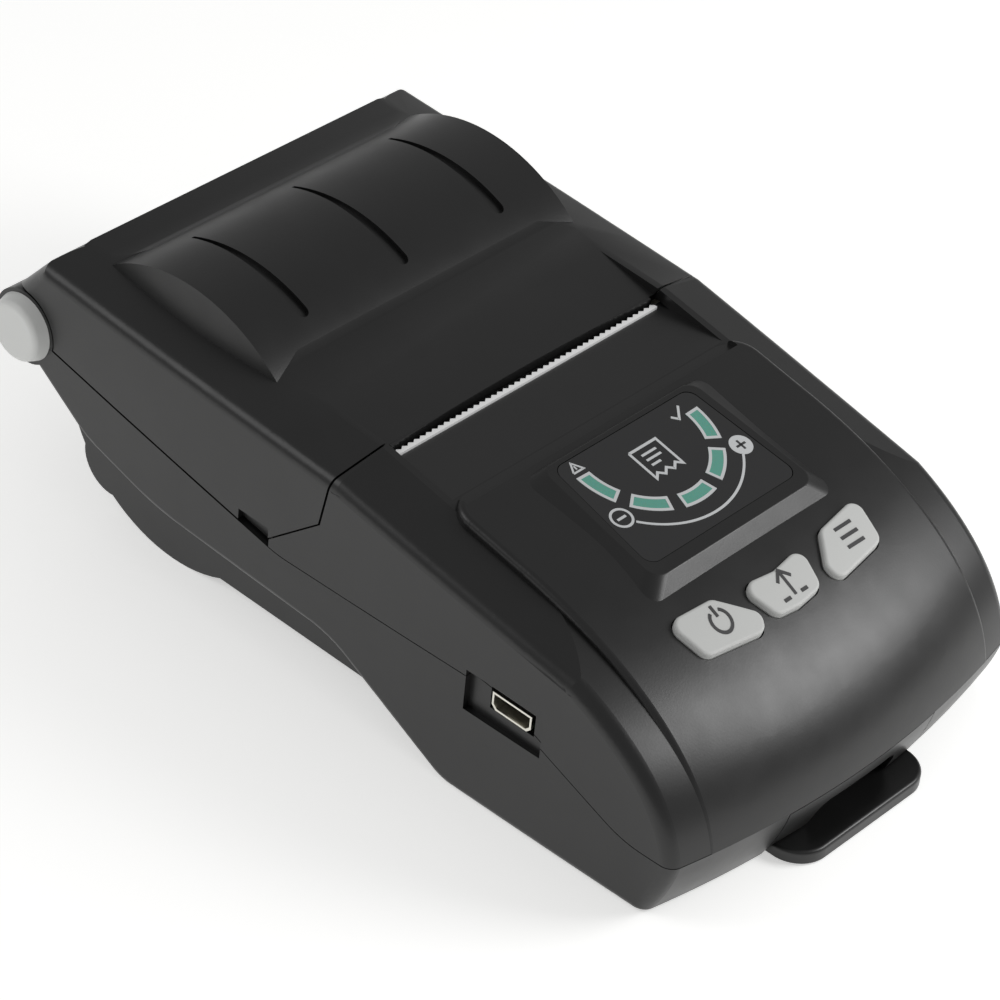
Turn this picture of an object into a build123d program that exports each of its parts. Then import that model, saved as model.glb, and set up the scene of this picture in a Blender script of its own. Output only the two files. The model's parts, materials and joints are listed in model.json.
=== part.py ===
from build123d import *
import os
from math import asin, atan2, cos, hypot, pi, radians, sin, sqrt, tan

# Portable thermal printer for 57 mm paper rolls.
# x runs across the printer, y to the rear and z up. While the pieces are made, y is counted
# from the tear line; the export then moves everything so that the origin is in the middle
# of the printer's length, on the surface that it stands on. All sizes are in millimetres.

# Case
case_width = 82.6         # at its widest place
side_bow = 1.5            # how much each side has curved in at the nose
widest_y = 15.0
case_wall = 2.0
screwed_gap = 0.16        # seam between shells that are screwed together
moving_gap = 0.4          # seam round the paper cover
edge_radius = 2.4         # along the top edges of both sides and down the nose corners
shoulder_half = 31.8      # the top is level across up to here, then falls to the sides
shoulder_drop = 2.5       # how far it falls on the way to the sides
tear_top = 44.0           # case top beside the tear line
front_slope = 10.5        # degrees, from the tear line towards the keys
slope_length = 30.0
nose_reach = 67.5         # from the tear line to the front seam, at the case sides
nose_bow = 4.8            # how much further the middle of the nose reaches
nose_lean = 80.0          # degrees from level, where the nose meets the front seam
nose_top_handle = 22.0    # how long the nose curve follows the slope
nose_low_handle = 14.0    # how long it follows its lean above the front seam
band_bulge = 0.5          # how far the band bulges between the seam and the ground
seam_front = 11.3         # height of the seam at the nose
band_tuck = 4.2           # how far the band under the seam leans in
bottom_radius = 1.2
rear_top_reach = 65.0
rear_top = 47.3
rear_edge_radius = 4.5

# Seam between the base and the upper shells, in the side view
seam_rise_reach = 58.8    # in front of this the seam is level
seam_crest_reach = 31.5
seam_crest = 22.8
seam_dip_reach = 12.1
seam_dip = 21.7
seam_rear_reach = 78.6
seam_rear = 33.4
seam_bend = 18.0

# Split between the front shell and the paper cover, in the side view
split_low = (14.2, 23.5)
split_knee = (3.9, 32.5)
split_shoulder = (2.2, 41.6)
split_top = 1.2

# Raised console on the front shell
console_half = 33.0
console_start = 12.8      # its rear edge, in front of the tear line
console_rise = 1.5
console_corner = 5.0
console_edge = 1.0
console_fade = 0.1        # height that is left of the console at the front seam

# Tray round the tear line, where the paper comes out
tray_half = 30.6
tray_reach = 12.5
tray_floor = 41.5
tray_lip = 42.6           # height of the cover's front edge
lip_bow = 0.8             # how far the middle of that edge stands back
wedge_reach = 13.8        # where the cover's sloping part meets its roof
tray_thick = 1.6
cover_plate = 1.8

# Paper roll and the well that it lies in
paper_width = 57.0
roll_radius = 22.0
core_radius = 8.5
core_bore = 6.3
roll_y = 41.0
roll_z = 25.3
well_half = 35.0
well_radius = 25.3
well_side_rear = 30.0     # the well's sides stand above the seam in front of this
roll_gap = 0.2            # under the roll
cheek_inner = 29.3        # ribs that keep the roll in the middle
cheek_places = (32.0, 41.0, 50.0)
cheek_top = 18.0
well_top = 33.0
belly_bottom = 2.5
belly_front = 26.0
heel_radius = 6.0
heel_y = 55.8
heel_z = 10.2

# Roll bulge of the cover
bulge_radius = 29.5
bulge_y = 41.5
bulge_z = 22.6
bulge_half = 34.5
bulge_floor = 40.0        # the bulge starts inside the cover's roof
bulge_end_wall = 2.4
bulge_end = 1.3           # the end facets lean in over this length
bulge_blend = 9.0
groove_spacing = 21.8
groove_depth = 0.8
groove_narrow = 0.6
groove_wide = 2.2         # at the groove's round front end
groove_rear = 52.7
groove_front = 28.6
notch_length = 6.5
notch_height = 2.4
notch_depth = 1.1

# Hinge of the paper cover
hinge_y = 70.2
hinge_z = 32.0
barrel_radius = 6.3
ear_radius = 6.6
ear_thick = 4.3
ear_stand = 0.1           # how far the ears stand out from the sides
ear_clearance = 0.3
cap_radius = 5.9
cap_end_radius = 5.1      # the caps narrow towards their outer end
cap_height = 2.5
cap_dome = 1.2
pin_radius = 2.0
pin_length = 9.0
pin_bore = 5.0            # depth of the pin's bore in the cover's barrel
pin_stop = 1.8            # wall between a pin's bore and the hollow in the barrel
running = 0.05            # radial clearance of a turning shaft

# Lower edge of the side walls
foot_rear = 23.9          # the walls stand on the ground in front of this
arch_front = (0.7, 12.7)
arch_rear = (39.2, 14.1)
arch_tail = (55.7, 18.3)
arch_end = (67.9, 26.3)
arch_bends = (8.0, 20.0, 40.0, 14.0, 3.0)

# Battery bay, door and belt clip
bay_half = 17.3
bay_wall = 1.3
bay_front = 61.5
bay_rear = 2.5
bay_ceiling = 15.6
ceiling_thick = 1.4
rail_inner = 16.2         # the door's edges slide on two rails
rail_bottom = 1.9
battery = (33.0, 58.0, 9.0)
door_half = 17.0
door_gap = 0.2
door_bottom = 3.0
door_thick = 1.7
door_rear = 1.5
thumb_half = 9.2
thumb_top = 8.0
thumb_depth = 5.5
thumb_corner = 2.5
clip_half = 16.0
clip_reach = 74.3
clip_corner = 5.5
clip_bottom = 0.4
clip_thick = 2.2
clip_pin_y = -4.0
clip_pin_radius = 0.8
clip_barrel = 1.45
clip_barrel_half = 12.3
clip_pin_z = 1.55
clip_edge = 0.6
spring_room = 3.4         # half width of the gap in the clip's barrel
clip_spring_wire = 0.25

# Display
label_y = -29.2
label_z = 40.8
label_pitch = 11.5
label_half_rear = 15.3
label_half_front = 16.9
label_length = 21.9
label_corner = 2.0
label_thick = 0.5
bezel_rear = (12.0, 16.9)  # from the label's centre to the top edge, and half the width there
bezel_front = (13.4, 18.3)
bezel_foot_rear = (13.1, 24.6)
bezel_foot_front = (16.7, 22.3)
bezel_depth = 2.6         # from the top edge down to the foot, inside the console
bezel_corner = 2.6
bezel_edge = 0.4
bezel_floor = 1.5         # under the label
lamp_inner = 10.9
lamp_outer = 13.7
lamp_arc_y = 7.3          # centre of the lamps' arc, behind the label's centre
lamp_pitch = 38.3         # degrees from one lamp to the next
lamp_span = 29.4          # degrees that one lamp fills
lamp_count = 5

# Keys
key_rise = 1.3
key_gap = 0.25
key_travel = 0.6
key_flange = 0.8
key_corner = 1.9
key_edge = 0.5
key_level = 33.6          # height at which the outlines below are drawn
key_below = 9.0           # how far a key's prism reaches below and above that height
key_above = 9.0
key_switch_shift = 1.0
pusher_gap = 0.45         # between a pressed key's pusher and its switch
power_key = [(-21.9, -47.3), (-12.6, -47.9), (-6.7, -53.8), (-8.2, -56.5), (-19.9, -54.9)]
feed_key = [(-7.2, -48.6), (0.0, -49.5), (7.2, -48.5), (5.6, -55.5), (0.0, -56.1), (-4.6, -55.6)]
menu_key = [(22.2, -46.6), (12.3, -48.1), (8.7, -53.2), (9.2, -56.3), (20.9, -54.6)]

# Key board under the console
board_pitch = 14.5
board_y = -37.0
board_z = 28.2
board_length = 38.0
board_half = 22.0
board_thick = 1.2
board_post_x = 19.5
board_post_radius = 1.6
switch_body = (4.6, 4.6, 1.4)
switch_stem = 0.5
switch_stem_radius = 1.5

# Print mechanism
platen_y = 5.6
platen_z = 35.2
platen_radius = 4.4
platen_half = 28.6
shaft_radius = 1.5
press_fit = 0.01
bushing_radius = 2.4
gear_module = 0.5
platen_teeth = 18
idler_teeth = 28
pinion_teeth = 12
gear_x = 32.3
gear_width = 2.4
frame_half = 31.6
frame_sheet = 1.0
frame_front = -8.0
frame_rear = 9.5
frame_top = 39.8
notch_half = 2.6
head_rear = 1.1           # face of the print head, with the paper between it and the platen
head_pin_radius = 1.0
head_pin_y = -1.15
head_pin_z = 31.2
spring_wall_bottom = 30.3
flange_rear = 0.5
axle_radius = 1.0
pinion_shaft = 1.0
bracket_front = 2.4
bracket_rear = 8.8
arm_inner = 29.0
arm_outer = 30.2
cable_half = 10.0
head_half = 27.0
head_bottom = 30.0
head_top = 38.7
ceramic_thick = 1.0
heatsink_thick = 2.5
motor_radius = 5.8
motor_length = 18.0
tear_length = 58.5
tear_sheet = 0.5
tear_top_z = 41.9
tear_front = 0.0
tear_tip = 1.1
tear_count = 45
tear_tooth = 0.5
tear_slot = 0.1           # in front of the strip

# Main board and socket
pcb_half = 31.0
pcb_front = -58.0
pcb_rear = -10.5
pcb_bottom = 17.9
pcb_thick = 1.2
radio_x = 21.0
radio_y = -35.0
radio_board = (14.0, 22.0, 0.8)
radio_can = (12.0, 14.0, 1.8)
radio_can_shift = 3.0
socket_y = -35.7
socket_width = 7.8
socket_height = 3.2
socket_depth = 8.5
socket_recess = (27.1, 42.2, 16.4, 23.9)
recess_depth = 1.0
screw_side = 5.0          # from the case screws to the sides
screw_rows = (-50.0, -14.0)
screw_radius = 1.0
screw_head_radius = 1.9
screw_head_height = 1.2
screw_bite = 4.5          # depth of a case screw in its boss
frame_screw_x = 25.0
frame_screw_y = 0.5
frame_screw_tip = 9.0
frame_post_radius = 2.4
post_radius = 2.6

# The printer's middle, counted from the tear line
rear_reach = hinge_y + ear_radius
frame_shift = (clip_reach - rear_reach) / 2

half = case_width / 2
inner_half = half - case_wall


def side_at(y):
    # half width of the case; the bow is an arc that reaches side_bow at the nose
    return half - side_bow * ((y - widest_y) / (nose_reach + widest_y)) ** 2


ear_outer = side_at(hinge_y) + ear_stand
ear_inner = ear_outer - ear_thick
pin_wall = ear_inner - pin_bore - pin_stop    # half length of the hollow in the barrel
screw_x = half - screw_side
nodes = {}


def keep(name, shape):
    nodes[name] = shape


def block(x0, x1, y0, y1, z0, z1):
    return Pos((x0 + x1) / 2, (y0 + y1) / 2, (z0 + z1) / 2) * Box(abs(x1 - x0), abs(y1 - y0), abs(z1 - z0))


def rod(radius, x0, x1, y, z):
    return Pos((x0 + x1) / 2, y, z) * Rot(0, 90, 0) * Cylinder(radius, abs(x1 - x0))


def side_slab(outline, x0, x1):
    # a closed outline in the side view, as (y, z) points or a curve, carried across from x0 to x1
    curve = Polyline(*outline, close=True) if isinstance(outline, list) else outline
    face = make_face(Plane.YZ.offset(x0) * curve)
    return extrude(face, x1 - x0, dir=(1, 0, 0))


def top_slab(outline, z0, z1, corner=0.0):
    face = make_face(Polyline(*outline, close=True))
    if corner:
        face = fillet(face.vertices(), corner)
    return Pos(0, 0, z0) * extrude(face, z1 - z0)


# Outer and inner form of the upper case

def inward(point, first, second, inset):
    # moves a corner in by inset from the two lines that meet there, given their outward normals
    share = inset / (1 + first[0] * second[0] + first[1] * second[1])
    return (point[0] - share * (first[0] + second[0]), point[1] - share * (first[1] + second[1]))


def bow(x):
    return nose_bow * (1 - (x / half) ** 2)


slope_end = (-slope_length + 1.0, tear_top - slope_length * tan(radians(front_slope)))
rear_tilt = atan2(rear_top - tear_top, rear_top_reach - 1.0)
to_barrel = (hinge_y - rear_top_reach, hinge_z - rear_top)
barrel_distance = hypot(*to_barrel)
rear_face = atan2(to_barrel[1], to_barrel[0]) + asin(barrel_radius / barrel_distance)
rear_face_length = sqrt(barrel_distance ** 2 - barrel_radius ** 2)
slope_normal = (-sin(radians(front_slope)), cos(radians(front_slope)))
roof_normal = (-sin(rear_tilt), cos(rear_tilt))
rear_normal = (-sin(rear_face), cos(rear_face))
nose_normal = (-sin(radians(nose_lean)), cos(radians(nose_lean)))


def nose_curve(x, inset, start=slope_end, front_inset=None):
    # Bezier curve from the sloping top down to the front seam, bowed forward in the middle
    front_inset = inset if front_inset is None else front_inset
    top = (start[0] - inset * slope_normal[0], start[1] - inset * slope_normal[1])
    seam = (-nose_reach - bow(x), seam_front)
    seam = (seam[0] - front_inset * nose_normal[0], seam[1] - front_inset * nose_normal[1])
    along_slope = (-slope_normal[1], slope_normal[0])
    up_nose = (nose_normal[1], -nose_normal[0])
    top_handle = (top[0] + nose_top_handle * along_slope[0], top[1] + nose_top_handle * along_slope[1])
    low_handle = (seam[0] + nose_low_handle * up_nose[0], seam[1] + nose_low_handle * up_nose[1])
    return seam, low_handle, top_handle, top


def upper_section(x, inset):
    seam, low_handle, top_handle, top = nose_curve(x, inset)
    crest = inward((1.0, tear_top), slope_normal, roof_normal, inset)
    rear = inward((rear_top_reach, rear_top), roof_normal, rear_normal, inset)
    tangent = (rear_top_reach + rear_face_length * cos(rear_face) - inset * rear_normal[0],
               rear_top + rear_face_length * sin(rear_face) - inset * rear_normal[1])
    below = seam_front - 3.0
    outline = Bezier(seam, low_handle, top_handle, top)
    outline += Polyline(top, crest, rear, tangent, (tangent[0], seam_dip - 4.0), (seam[0], below), seam)
    return make_face(Plane.YZ.offset(x) * outline)


def console_section(x, inset):
    # the same curve lifted by the console's height, which fades out at the front seam
    seam, low_handle, top_handle, top = nose_curve(x, inset - console_rise, slope_end, inset - console_fade)
    start = -console_start - inset
    rear = (start, top[1] + (start - top[0]) * tan(radians(front_slope)))
    outline = Bezier(seam, low_handle, top_handle, top)
    outline += Polyline(top, rear, (start, seam_dip), (seam[0], seam_front - 3.0), seam)
    return make_face(Plane.YZ.offset(x) * outline)


def band_section(x, inset):
    # the band under the front seam, which leans in towards the ground
    seam = (-nose_reach - bow(x) + inset, seam_front)
    ground = (seam[0] + band_tuck, inset)
    middle = ((seam[0] + ground[0]) / 2 - band_bulge, seam_front / 2)
    outline = ThreePointArc(seam, middle, ground)
    outline += Polyline(ground, (90.0, inset), (90.0, 40.0), (seam[0], 40.0), seam)
    return make_face(Plane.YZ.offset(x) * outline)


def across(section, half_width, inset):
    return loft([section(share * half_width, inset) for share in (-1, -0.5, 0, 0.5, 1)])


def between_sides(inset):
    # everything between the two bowed sides, moved in by inset
    front = (side_at(-95.0) - inset, -95.0)
    rear = (side_at(95.0) - inset, 95.0)
    outline = ThreePointArc(front, (half - inset, widest_y), rear) + Line(rear, (-rear[0], rear[1]))
    outline += ThreePointArc((-rear[0], rear[1]), (inset - half, widest_y), (-front[0], front[1]))
    outline += Line((-front[0], front[1]), front)
    return Pos(0, 0, -10.0) * extrude(make_face(outline), 100.0)


def edges_where(shape, test):
    return [edge for edge in shape.edges() if test(edge.center())]


def rounded_path(points, radii):
    # straight runs through the points, with an arc of the given radius at each inner corner
    path = Curve()
    start = Vector(*points[0])
    for corner, after, radius in zip(points[1:-1], points[2:], radii):
        corner = Vector(*corner)
        back = (start - corner).normalized()
        ahead = (Vector(*after) - corner).normalized()
        half_angle = radians(back.get_angle(ahead)) / 2
        centre = corner + (back + ahead).normalized() * (radius / sin(half_angle))
        first = corner + back * (radius / tan(half_angle))
        last = corner + ahead * (radius / tan(half_angle))
        path += Line(start, first)
        path += ThreePointArc(first, centre + (corner - centre).normalized() * radius, last)
        start = last
    path += Line(start, Vector(*points[-1]))
    return path


def both_sides(shape):
    return shape + mirror(shape, Plane.YZ)


def seam_side(shift, above):
    # everything above or below the seam, moved by shift
    line = [(-95.0, seam_front), (-seam_rise_reach, seam_front), (-seam_crest_reach, seam_crest),
            (seam_dip_reach, seam_dip), (seam_rear_reach, seam_rear)]
    line = [(y, z + shift) for y, z in line]
    path = rounded_path(line, (seam_bend, seam_bend, seam_bend))
    far = 95.0 if above else -40.0
    end = line[-1]
    path += Polyline(end, (95.0, end[1]), (95.0, far), (-95.0, far), line[0])
    return side_slab(path, -50, 50)


def behind_split(shift):
    line = [(split_low[0], 0.0), split_low, split_knee, split_shoulder, (split_top, tear_top)]
    line = [(y + shift, z) for y, z in line + [(split_top, 95.0)]]
    return side_slab(line + [(95.0, 95.0), (95.0, 0.0)], -50, 50)


def roof_height(y):
    return tear_top + (y - 1.0) * tan(rear_tilt)


def slope_height(y):
    return tear_top + (y - 1.0) * tan(radians(front_slope))


def seam_height(y):
    if y < -seam_crest_reach:
        share = (y + seam_rise_reach) / (seam_rise_reach - seam_crest_reach)
        return seam_front + share * (seam_crest - seam_front)
    share = (y + seam_crest_reach) / (seam_dip_reach + seam_crest_reach)
    return seam_crest + share * (seam_dip - seam_crest)


def underside(y):
    return max(0.0, arch_front[1] * (y + foot_rear) / (arch_front[0] + foot_rear))


def up_from(radius, z0, z1, x, y):
    return Pos(x, y, (z0 + z1) / 2) * Cylinder(radius, z1 - z0)


def above_shoulders(inset):
    # what lies above the strips that fall from the level top to the sides, moved in by inset
    lean = shoulder_drop / (half - shoulder_half)
    height = tear_top - inset * hypot(1.0, lean)
    margin = 5.0
    cut = Part()
    for side in (-1, 1):
        near = side * (shoulder_half - margin)
        far = side * (half + margin)
        drop_far = lean * (half + margin - shoulder_half)
        outline = Polyline((near, height + lean * margin), (far, height - drop_far), (far, 80.0),
                           (near, 80.0), close=True)
        face = make_face(Plane.XZ.offset(-1.0) * outline)
        cut += extrude(face, 90.0, dir=(0, cos(rear_tilt), sin(rear_tilt)))
        cut += extrude(face, 70.0, dir=(0, -cos(radians(front_slope)), -sin(radians(front_slope))))
    return cut


def rounded_case():
    form = across(upper_section, half, 0.0)
    rear_edge = edges_where(form, lambda c: abs(c.X) < 1 and abs(c.Y - rear_top_reach) < 0.1)
    form = fillet(rear_edge, rear_edge_radius)
    form = (form - above_shoulders(0.0)) & between_sides(0.0)

    def on_side(c):
        return abs(c.X) > side_at(c.Y) - 0.3 and c.Y < hinge_y + 5 and (c.Z > seam_dip or c.Y < -60)
    return fillet(edges_where(form, on_side), edge_radius)


def rounded_console():
    form = across(console_section, console_half, 0.0)

    def rear_corner(c):
        return abs(abs(c.X) - console_half) < 0.01 and abs(c.Y + console_start) < 0.01
    form = fillet(edges_where(form, rear_corner), console_corner)

    def top_rim(c):
        return c.Z > seam_front + 5 and (abs(abs(c.X) - console_half) < 0.01 or c.Y > -console_start - 4)
    rim = [edge for edge in form.edges() if top_rim(edge.center()) and
           edge.bounding_box().min.Z > seam_front - 1 and
           edge.center().Z > slope_height(edge.center().Y) * 0.6]
    return fillet(rim, console_edge)


case_outer = rounded_case()
case_inner = across(upper_section, inner_half, case_wall) & between_sides(case_wall)
case_inner -= above_shoulders(case_wall)
above_front = seam_side(screwed_gap / 2, True)
below_base = seam_side(-screwed_gap / 2, False)
above_cover = seam_side(moving_gap - screwed_gap / 2, True)
front_split = behind_split(-moving_gap / 2)
cover_split = behind_split(moving_gap / 2)
socket_z = pcb_bottom + pcb_thick + socket_height / 2
key_tilt = radians(board_pitch)
key_axis = (0.0, -sin(key_tilt), cos(key_tilt))


# Label, bezel and lamps lie in the tilted plane of the display

label_normal = (0.0, -sin(radians(label_pitch)), cos(radians(label_pitch)))
label_plane = Plane(origin=(0, label_y, label_z), x_dir=(1, 0, 0), z_dir=label_normal)


def four_sided(rear, front, corner):
    # rear and front are (distance from the label's centre, half width)
    points = [(-front[1], -front[0]), (front[1], -front[0]), (rear[1], rear[0]), (-rear[1], rear[0])]
    face = make_face(Polyline(*points, close=True))
    return fillet(face.vertices(), corner)


def label_face(grow, corner):
    return four_sided((label_length / 2 + grow, label_half_rear + grow),
                      (label_length / 2 + grow, label_half_front + grow), corner)


def in_label_plane(face, top, depth):
    return label_plane * Pos(0, 0, top - depth) * extrude(face, depth)


def lamp_face(index, grow):
    middle = radians(-90.0 + (index - (lamp_count - 1) / 2) * lamp_pitch)
    reach = radians(lamp_span / 2)
    inner = lamp_inner - grow
    outer = lamp_outer + grow

    def at(radius, side):
        angle = middle + side * (reach + grow / lamp_outer)
        return (radius * cos(angle), lamp_arc_y + radius * sin(angle))
    outline = ThreePointArc(at(inner, -1), at(inner, 0), at(inner, 1)) + Line(at(inner, 1), at(outer, 1))
    outline += ThreePointArc(at(outer, 1), at(outer, 0), at(outer, -1)) + Line(at(outer, -1), at(inner, -1))
    return make_face(outline)


def lamps(grow, top, depth):
    return Part() + [in_label_plane(lamp_face(i, grow), top, depth) for i in range(lamp_count)]


bezel_top = label_plane * four_sided(bezel_rear, bezel_front, bezel_corner)
bezel_foot = four_sided(bezel_foot_rear, bezel_foot_front, bezel_corner)
bezel_foot = label_plane * Pos(0, 0, -bezel_depth) * bezel_foot
bezel = loft([bezel_foot, bezel_top], ruled=True)
bezel = fillet(bezel.faces().sort_by(Axis((0, 0, 0), label_normal))[-1].edges(), bezel_edge)


# Keys: each outline is in the top view and is carried along the direction in which the key moves

def key_outline(points, grow):
    face = make_face(Polyline(*points, close=True))
    face = fillet(face.vertices(), key_corner)
    return offset(face, grow) if grow else face


def key_prism(points, grow):
    slant = key_axis[1] / key_axis[2]
    base = Pos(0, -slant * key_below, key_level - key_below) * key_outline(points, grow)
    return extrude(base, (key_below + key_above) / key_axis[2], dir=key_axis)


key_outlines = {"power_button": power_key, "feed_button": feed_key, "menu_button": menu_key}
key_middles = {name: (sum(x for x, y in points) / len(points), sum(y for x, y in points) / len(points))
               for name, points in key_outlines.items()}
console_outer = rounded_console()
console_inner = across(console_section, console_half - case_wall, case_wall)


# Front shell

tray_cut = block(-tray_half, tray_half, -tray_reach - 3.0, 8.0, tray_floor, 60.0)
tray_plate = block(-tray_half - case_wall, tray_half + case_wall, -tray_reach - 1.5,
                   split_top - moving_gap / 2, tray_floor - tray_thick, tray_floor)
front_shell = case_outer - front_split + console_outer + bezel
front_shell -= case_inner
front_shell -= console_inner
front_shell -= tray_cut
front_shell += tray_plate & (case_outer + console_outer)
slot_half = tear_length / 2 + tear_slot
front_shell -= block(-slot_half, slot_half, tear_front - tear_slot, 8.0, frame_top - 1.8, 60.0)
front_shell -= in_label_plane(label_face(0.1, label_corner), 1.0, 1.0 + label_thick + 0.05)
front_shell -= in_label_plane(four_sided((9.5, 14.8), (10.0, 14.8), 1.5), -label_thick - bezel_floor, 9.0)
front_shell -= lamps(0.1, 0.0, 4.0)
for points in key_outlines.values():
    front_shell -= key_prism(points, key_gap)
screw_places = [(side * screw_x, y) for side in (-1, 1) for y in screw_rows]
for x, y in screw_places:
    boss = Pos(x, y, 0) * Cylinder(post_radius, 60.0, align=(Align.CENTER, Align.CENTER, Align.MIN))
    front_shell += boss & (case_outer - block(-50, 50, -90, 90, -10, seam_front))
    front_shell -= up_from(screw_radius + running, 0.0, seam_height(y) + screw_bite + 0.5, x, y)
board_plane = Plane(origin=(0, board_y, board_z), x_dir=(1, 0, 0), z_dir=key_axis)
board_posts = Part()
for x, v in ((board_post_x, 14.0), (-board_post_x, 14.0), (board_post_x, -5.0), (-board_post_x, -5.0)):
    board_posts += board_plane * Pos(x, v, board_thick) * Cylinder(
        board_post_radius, 20.0, align=(Align.CENTER, Align.CENTER, Align.MIN))
front_shell += board_posts & console_outer & across(console_section, console_half, 1.0)
front_shell &= above_front
socket_opening = block(-half - 1.0, -inner_half + 5.0, socket_y - socket_width / 2 - 0.5,
                       socket_y + socket_width / 2 + 0.5, socket_z - socket_height / 2 - 0.4,
                       socket_z + socket_height / 2 + 0.4)
recess_outline = [(-socket_recess[1], socket_recess[2]), (-socket_recess[0], socket_recess[2]),
                  (-socket_recess[0], socket_recess[3]), (-socket_recess[1], socket_recess[3])]
recess_floor = -side_at(socket_y) + recess_depth
recess = side_slab(recess_outline, -half - 1.0, recess_floor)
front_shell -= socket_opening + recess
keep("front_shell", front_shell)


# Paper cover

def bulge_profile():
    disc = Pos(bulge_y, bulge_z) * Circle(bulge_radius)
    last = rear_top_reach
    slab = make_face(Polyline((0.0, 30.0), (0.0, roof_height(0.0)), (last, roof_height(last)), (last, 30.0),
                              close=True))
    form = disc + slab

    def meets_roof(v):
        return abs(v.Y - roof_height(v.X)) < 0.01 and 1.0 < v.X < last - 1.0
    return fillet([v for v in form.vertices() if meets_roof(v)], bulge_blend)


profile = bulge_profile()
bulge_flat = bulge_half - bulge_end
bulge = extrude(Plane.YZ.offset(-bulge_flat) * profile, 2 * bulge_flat, dir=(1, 0, 0)) - above_shoulders(0.0)
bulge += rod(bulge_radius, -bulge_flat, bulge_flat, bulge_y, bulge_z)
end_radius = roof_height(bulge_y) - bulge_z - shoulder_drop
for side in (-1, 1):
    cone = Cone(bulge_radius, end_radius, bulge_end)
    bulge += Pos(side * (bulge_flat + bulge_end / 2), bulge_y, bulge_z) * Rot(0, side * 90, 0) * cone
bulge &= block(-half, half, wedge_reach, rear_top_reach, bulge_floor, 80.0)
hinge_barrel = rod(barrel_radius, -ear_inner + 0.2, ear_inner - 0.2, hinge_y, hinge_z)
ear_room = both_sides(rod(ear_radius + ear_clearance, ear_inner - 0.2, ear_outer + 1.0, hinge_y, hinge_z))

cover = (case_outer & cover_split & above_cover) + bulge
cover -= case_inner
bulge_room = bulge_half - bulge_end_wall
cover -= rod(bulge_radius - case_wall, -bulge_room, bulge_room, bulge_y, bulge_z)
cover -= ear_room
lip_y = split_top + moving_gap / 2
wedge_slope = (roof_height(wedge_reach) - tray_lip) / (wedge_reach - lip_y)
wedge = [(lip_y - 3.0, tray_lip - 3.0 * wedge_slope), (wedge_reach + 0.001, roof_height(wedge_reach)),
         (wedge_reach + 0.001, 60.0), (lip_y - 3.0, 60.0)]
cover -= side_slab(wedge, -tray_half, tray_half)
plate_rear = wedge_reach + 2.0
wedge_plate = [(lip_y, tray_lip), (plate_rear, roof_height(plate_rear) - 0.5),
               (plate_rear, roof_height(plate_rear) - cover_plate), (lip_y, tray_lip - cover_plate)]
cover += side_slab(wedge_plate, -tear_length / 2, tear_length / 2)
cover += side_slab(wedge_plate, -tray_half - case_wall, tray_half + case_wall) & cover_split
lip_end = tear_length / 2
lip_cut = ThreePointArc((-lip_end, lip_y), (0.0, lip_y + lip_bow), (lip_end, lip_y))
lip_cut += Polyline((lip_end, lip_y), (lip_end, lip_y - 2.0), (-lip_end, lip_y - 2.0), (-lip_end, lip_y))
cover -= Pos(0, 0, tray_lip - 3.0) * extrude(make_face(lip_cut), 10.0)
groove_shell = rod(bulge_radius + 5.0, -half, half, bulge_y, bulge_z)
groove_shell -= rod(bulge_radius - groove_depth, -half, half, bulge_y, bulge_z)
for x in (-groove_spacing, 0.0, groove_spacing):
    plan = [(x - groove_wide / 2, groove_front), (x + groove_wide / 2, groove_front),
            (x + groove_narrow / 2, groove_rear), (x - groove_narrow / 2, groove_rear)]
    groove = top_slab(plan, bulge_floor, 60.0) + up_from(groove_wide / 2, bulge_floor, 60.0, x, groove_front)
    cover -= groove & groove_shell
rear_seam_slope = (seam_rear - seam_dip) / (seam_rear_reach - seam_dip_reach)
seam_at_notch = seam_dip + (split_low[0] - seam_dip_reach) * rear_seam_slope
for side in (-1, 1):
    cover -= Pos(side * half, split_low[0] + notch_length / 2, seam_at_notch + notch_height / 2) * Box(
        2 * notch_depth, notch_length, notch_height + 2.0)
cover += hinge_barrel
cover -= rod(barrel_radius - case_wall, -pin_wall, pin_wall, hinge_y, hinge_z)
cover -= block(-pin_wall, pin_wall, hinge_y - 12.0, hinge_y - 3.0, hinge_z - 1.5, hinge_z + 6.0) & case_inner
for side in (-1, 1):
    pin_span = (side * (ear_inner - pin_bore), side * (ear_outer + 1.0))
    cover -= rod(pin_radius + running, *pin_span, hinge_y, hinge_z)
keep("paper_cover", cover)


# Base: the front foot and side walls, and the belly that holds the roll

def flank_slab(inset, x0, x1):
    # lower edge of the side walls in the side view
    line = [(-95.0, 0.0), (-foot_rear, 0.0), arch_front, arch_rear, arch_tail, arch_end,
            (hinge_y + ear_radius, hinge_z - 1.0)]
    path = rounded_path(line, arch_bends)
    path += Polyline(line[-1], (line[-1][0], 60.0), (-95.0, 60.0), line[0])
    face = make_face(Plane.YZ.offset(x0) * path)
    if inset:
        face = offset(face, -inset, kind=Kind.INTERSECTION)
    return extrude(face, x1 - x0, dir=(1, 0, 0))


def belly_slab(inset, half_width, front_top, rear_top):
    radius = well_radius - inset
    face = Pos(roll_y, roll_z) * Circle(radius)
    face += make_face(Polyline((-belly_front + inset, belly_bottom + inset), (roll_y, belly_bottom + inset),
                               (roll_y, front_top), (-belly_front + inset, front_top), close=True))
    face += make_face(Polyline((roll_y - radius, roll_z), (roll_y + radius, roll_z),
                               (roll_y + radius, rear_top), (roll_y - radius, rear_top), close=True))
    face += Pos(heel_y, heel_z) * Circle(heel_radius - inset)
    return extrude(Plane.YZ.offset(-half_width) * face, 2 * half_width, dir=(1, 0, 0))


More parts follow.
